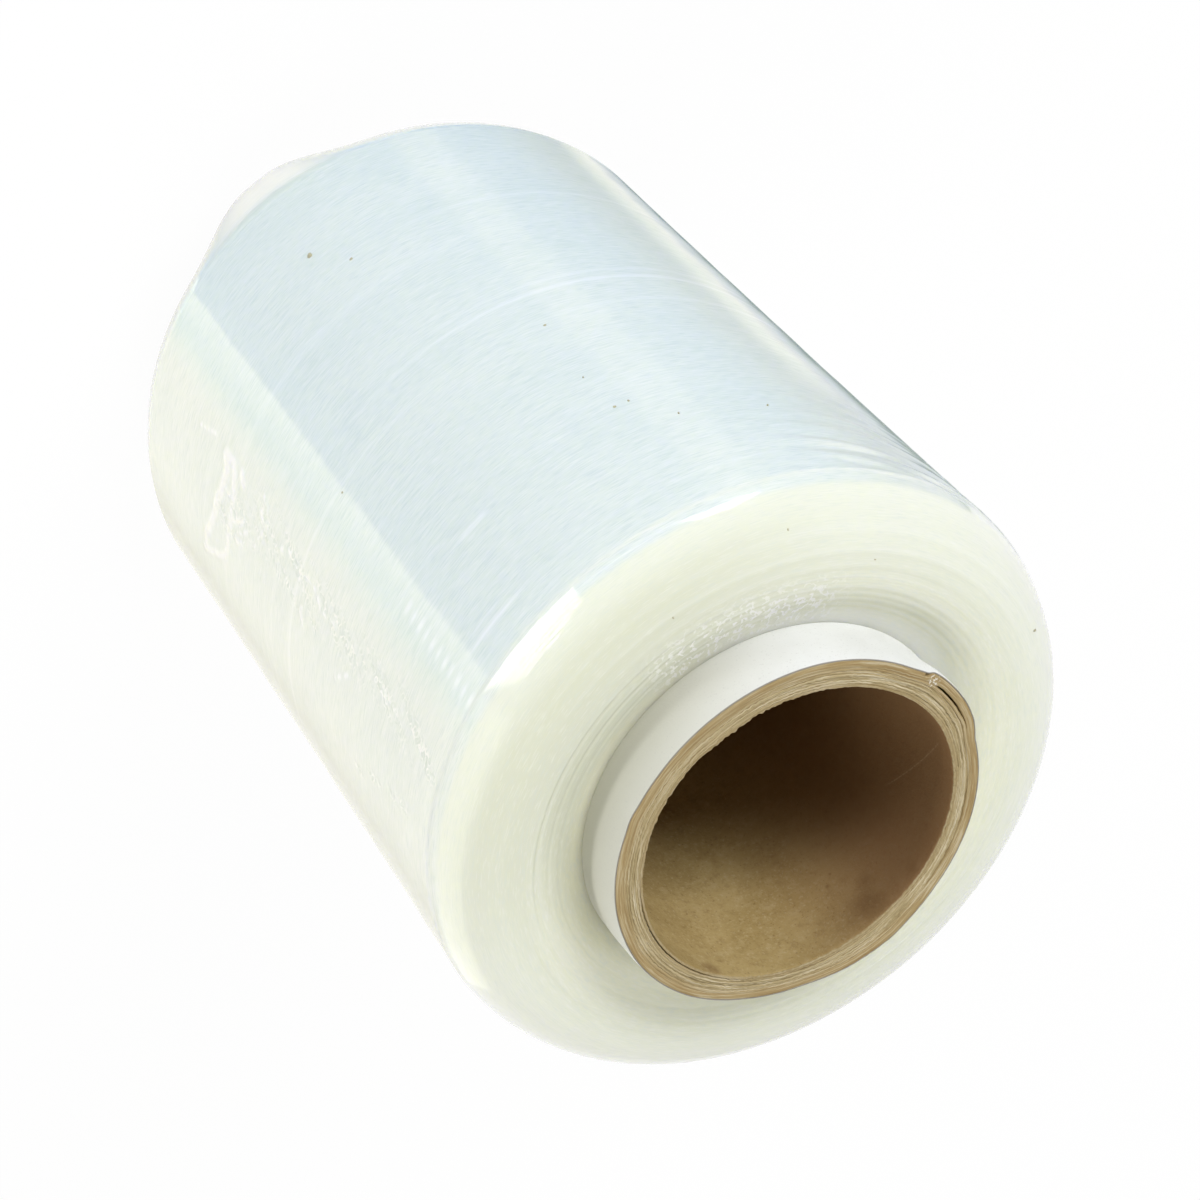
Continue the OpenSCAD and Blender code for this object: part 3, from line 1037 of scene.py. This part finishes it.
# Light from the surroundings, against 1 for the white that is seen of them
SKY_LEVEL = 0.13
# Point that the lamps face
AIM = Vector((0, 0, 0.06))
PLAIN = (1, 1, 1)
WARM = (1.0, 0.985, 0.95)
# Lamps, as name, azimuth, elevation, distance, size, power in watts and colour
LAMPS = [
    ("key", 217, 33, 1.3, (0.9, 0.4), 10.7, PLAIN),
    ("front_fill", 250, 22, 1.4, (1.0, 0.3), 4.0, PLAIN),
    ("left_fill", 322, 3, 1.4, (1.0, 0.2), 6.6, WARM),
    ("right_fill", 25, 48, 1.4, (1.2, 0.5), 9.8, WARM),
    ("back_fill", 120, 40, 1.4, (1.2, 0.5), 3.0, PLAIN),
]


def make_floor():
    """A floor that is white to the camera and in reflections, and keeps some of the roll's shadow."""
    bpy.ops.mesh.primitive_plane_add(size=FLOOR_SIDE, location=(0, 0, 0))
    floor = bpy.context.object
    floor.name = "floor"
    n = Nodes("white floor")
    path = n.add("LightPath")
    seen = n.math("MAXIMUM", path.outputs["Is Camera Ray"], path.outputs["Is Glossy Ray"])
    seen = n.math("MAXIMUM", seen, path.outputs["Is Transmission Ray"])
    matte = n.add("BsdfDiffuse", [n.mix(seen, FLOOR_GREY, PLAIN)])
    values = (n.times(seen, FLOOR_WHITE), matte.outputs[0], n.add("Emission").outputs[0])
    floor.data.materials.append(n.finish(n.add("MixShader", values)))


def make_world():
    """White surroundings, plain to the camera and in reflections, and low as light."""
    n = Nodes("studio", "World")
    path = n.add("LightPath")
    seen = n.math("MAXIMUM", path.outputs["Is Camera Ray"], path.outputs["Is Glossy Ray"])
    level = n.step(seen, 0.0, 1.0, SKY_LEVEL, 1.0)
    scene.world = n.finish(n.add("Background", (colour(PLAIN), level)))


def softbox(name, azimuth, elevation, distance, size, watts, shade):
    """A lamp that faces the roll and shows in no reflection."""
    light = bpy.data.lights.new(name, "AREA")
    light.shape = "RECTANGLE"
    light.size, light.size_y = size
    light.energy = watts
    light.color = shade
    lamp = bpy.data.objects.new(name, light)
    e = math.radians(elevation)
    lamp.location = Vector(polar(azimuth, distance * math.cos(e), distance * math.sin(e))) + AIM
    lamp.rotation_euler = (AIM - lamp.location).to_track_quat("-Z", "Y").to_euler()
    lamp.visible_glossy = False
    scene.collection.objects.link(lamp)


def make_camera():
    data = bpy.data.cameras.new("camera")
    data.sensor_width = SENSOR
    data.sensor_fit = "HORIZONTAL"
    data.lens = FOCAL_PIXELS / PHOTO_SIDE * SENSOR
    data.clip_start = 0.01
    camera = bpy.data.objects.new("camera", data)
    tilt = Matrix.Rotation(math.radians(90 - CAMERA_DOWN), 4, "X")
    roll = Matrix.Rotation(math.radians(CAMERA_ROLL), 4, "Z")
    camera.matrix_world = Matrix.Translation(CAMERA_AT) @ tilt @ roll
    scene.collection.objects.link(camera)
    scene.camera = camera


# Light cards, which stand for what the glossy film mirrors

# Light that the side of the roll mirrors to the camera, by azimuth in degrees
SIDE_GLOW = [
    (186, (0.40, 0.47, 0.46)), (188, (0.56, 0.60, 0.60)),
    (190, (0.26, 0.34, 0.31)), (194, (0.24, 0.32, 0.31)),
    (196, (0.47, 0.55, 0.58)), (198, (0.62, 0.69, 0.73)),
    (201, (0.64, 0.68, 0.74)), (207, (0.42, 0.50, 0.57)),
    (215, (0.42, 0.54, 0.60)), (225, (0.36, 0.62, 0.92)),
    (234, (0.38, 0.68, 1.03)), (236, (0.66, 0.92, 1.20)),
    (243, (0.66, 0.92, 1.20)), (245, (0.36, 0.70, 1.12)),
    (275, (0.36, 0.70, 1.12)), (289, (0.54, 0.88, 1.26)),
    (291, (0.54, 0.88, 1.26)), (291.6, (1.50, 1.68, 1.68)),
    (298, (1.04, 1.34, 1.36)), (300, (1.32, 1.46, 1.34)),
    (304, (1.52, 1.47, 1.30)), (312, (1.38, 1.36, 1.22)),
    (325, (1.24, 1.22, 1.08)), (337, (0.90, 0.88, 0.76)),
    (348, (1.00, 0.99, 0.93)), (356, (0.96, 0.95, 0.92)),
]
# Cream strip between the right edge and the blue: its limits in degrees and its light
STRIP = (200.5, 202.5, 207.0, 211.5)
STRIP_LIGHT = (0.40, 0.36, 0.22)
# The bands near that edge lean by this many degrees per millimetre, from this depth
LEAN = 0.05
LEAN_FROM = 60.0
# Cream lip of the far end, and the dark line over it
LIP_LIGHT = (1.12, 1.08, 1.14)
LIP_LINE = (0.05, 0.25, 0.55)
# Height of the coloured mat over the floor, in metres
MAT_HEIGHT = 0.0004
# Reach of the shoulder's cards, or their height over the floor where that is nearer
BROAD = (0.8, 0.0008)
GLINT = (0.6, 0.0012)
# Distance between the fine lines in a glint
STRIPE_PITCH = 0.45


def glow_stops(azimuth):
    stops, lights = zip(*SIDE_GLOW)
    return np.stack([np.interp(azimuth, stops, band) for band in zip(*lights)], -1)


def side_glow(azimuth, z):
    """Light that the side mirrors at an azimuth in degrees and a height."""
    depth = CORE_TOP - z
    leaning = azimuth + LEAN * (depth - LEAN_FROM) * ease(220, 210, azimuth)
    glow = glow_stops(leaning)
    strip = window(leaning, *STRIP) * ease(25, 45, depth)
    glow = glow + strip[..., None] * np.array(STRIP_LIGHT)
    lip = lip_share(azimuth)[..., None]
    low = ease(LIP_HEIGHT + 0.1, LIP_HEIGHT - 0.1, z)[..., None]
    line = ease(LIP_HEIGHT + 1.0, LIP_HEIGHT + 0.5, z)[..., None]
    glow = glow + lip * line * (np.array(LIP_LINE) - glow)
    return glow + lip * low * (np.array(LIP_LIGHT) - glow)


def reflected(point, normal):
    """Direction that the camera sees mirrored at a point in metres with that unit normal."""
    view = np.array(CAMERA_AT) - point
    view /= np.linalg.norm(view, axis=-1, keepdims=True)
    return 2 * np.sum(view * normal, -1, keepdims=True) * normal - view


def glow_card(name, points, shades):
    """A card that only reflections see: a grid of points in metres, each with its own light."""
    index = np.arange(points.size // 3).reshape(points.shape[:2])
    faces = np.stack([index[:-1, :-1], index[:-1, 1:], index[1:, 1:], index[1:, :-1]], -1)
    piece = mesh_object(name, points.reshape(-1, 3), faces.reshape(-1, 4), False)
    layer = piece.data.color_attributes.new("glow", "FLOAT_COLOR", "POINT")
    rgba = np.concatenate([shades.reshape(-1, 3), np.ones((index.size, 1))], 1)
    layer.data.foreach_set("color", rgba.astype(np.float32).ravel())
    n = Nodes(name)
    glow = n.add("Attribute", attribute_name="glow").outputs["Color"]
    piece.data.materials.append(n.finish(n.add("Emission", [glow])))
    for ray in ("camera", "diffuse", "transmission", "shadow"):
        setattr(piece, "visible_" + ray, False)


def make_side_card():
    """A coloured mat just over the floor, laid out so that the side mirrors it in upright bands."""
    azimuth = np.arange(186, 356.1, 0.3)
    lip_steps = [LIP_HEIGHT + step for step in (-0.3, -0.1, 0.1, 0.5, 1.0)]
    height = np.concatenate([[2, 6, 10] + lip_steps, np.linspace(14, 116, 52)])
    angle, z = np.meshgrid(azimuth, height)
    a = np.radians(angle)
    point = around(side_radius(z), a, z) * MM
    ray = reflected(point, around(1.0, a, 0.0))
    point = point + ray * ((MAT_HEIGHT - point[..., 2]) / ray[..., 2])[..., None]
    glow_card("side_card", point, side_glow(angle, z))


def shoulder_points(a, down):
    """Points in metres on the upper shoulder and their normals, by depth below its crest."""
    t = np.sqrt(down / SHOULDER_H)
    side_r = side_radius(SIDE_TOP)
    corner = side_r - SHOULDER_H * math.tan(SHOULDER_BREAK)
    r = CREST_R * (1 - t) ** 2 + 2 * corner * t * (1 - t) + side_r * t**2
    slope_r = 2 * (corner - CREST_R) * (1 - t) + 2 * (side_r - corner) * t
    slope_z = 2 * SHOULDER_H * t
    normal = around(slope_z, a, slope_r) / np.hypot(slope_r, slope_z)[..., None]
    return around(r, a, FILM_TOP - down) * MM, normal


def shoulder_card(name, start, end, upper, lower, where, shade=None, stripes=0.0, taper=None):
    """A card that the upper shoulder mirrors over a range of azimuth and of depth below its crest.

    Without a shade of its own it carries the colours of the side. Stripes is how much fine lines dim it
    towards the crest, and taper gives its share of the full width by azimuth.
    """
    reach, low = where
    azimuth = np.linspace(start, end, 1 + 3 * round(end - start))
    angle, share = np.meshgrid(azimuth, np.linspace(1, 0, 40))
    down = lower - (lower - upper) * share * (1 if taper is None else taper(angle))
    point, normal = shoulder_points(np.radians(angle), down)
    ray = reflected(point, normal)
    to_floor = np.where(ray[..., 2] < -1e-6, (low - point[..., 2]) / np.minimum(ray[..., 2], -1e-6), 1e3)
    point = point + np.minimum(to_floor, reach)[..., None] * ray
    glow = side_glow(angle, FILM_TOP - down) if shade is None else np.array(shade)
    lines = 1 - stripes * ease(0.4, 0.55, share) * (0.5 + 0.5 * np.sin(TURN * down / STRIPE_PITCH))
    glow_card(name, point, glow * lines[..., None])


def left_taper(azimuth):
    return 0.03 + 0.97 * ease(294.5, 287, azimuth) * (0.7 + 0.3 * ease(272, 279, azimuth))


def right_taper(azimuth):
    return 0.05 + 0.95 * window(azimuth, 238, 244, 248, 253)


def make_cards():
    make_side_card()
    shoulder_card("shoulder_card", 196, 291, 5.2, 7.2, BROAD)
    shoulder_card("left_edge_card", 294, 352, 5.8, 7.2, BROAD)
    shoulder_card("left_shoulder_card", 294, 352, 2.5, 5.8, BROAD, (1.5, 1.5, 1.33))
    shoulder_card("left_glint", 272, 294, 3.9, 6.9, GLINT, (4.6, 4.6, 4.4), 0.9, left_taper)
    shoulder_card("right_glint", 238, 253, 5.05, 5.7, GLINT, (7.0, 7.0, 7.5), 0.0, right_taper)
    shoulder_card("edge_glint", 252, 271, 5.75, 6.15, GLINT, (1.3, 1.4, 2.1))


def dress(piece, material, node=None):
    piece.data.materials.append(material)
    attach(piece, "root")
    if node is not None:
        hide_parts(node)


make_camera()
make_world()
for lamp in LAMPS:
    softbox(*lamp)
make_floor()
make_cards()
dress(make_film(), film_material(), "film_roll")
dress(make_core(), kraft_material(), "core_tube")
dress(make_paper(), paper_material(), "white_ply")
dress(make_dust(), Nodes("dust").shader((0.50, 0.47, 0.33), Roughness=0.8))

scene.view_settings.view_transform = "Standard"
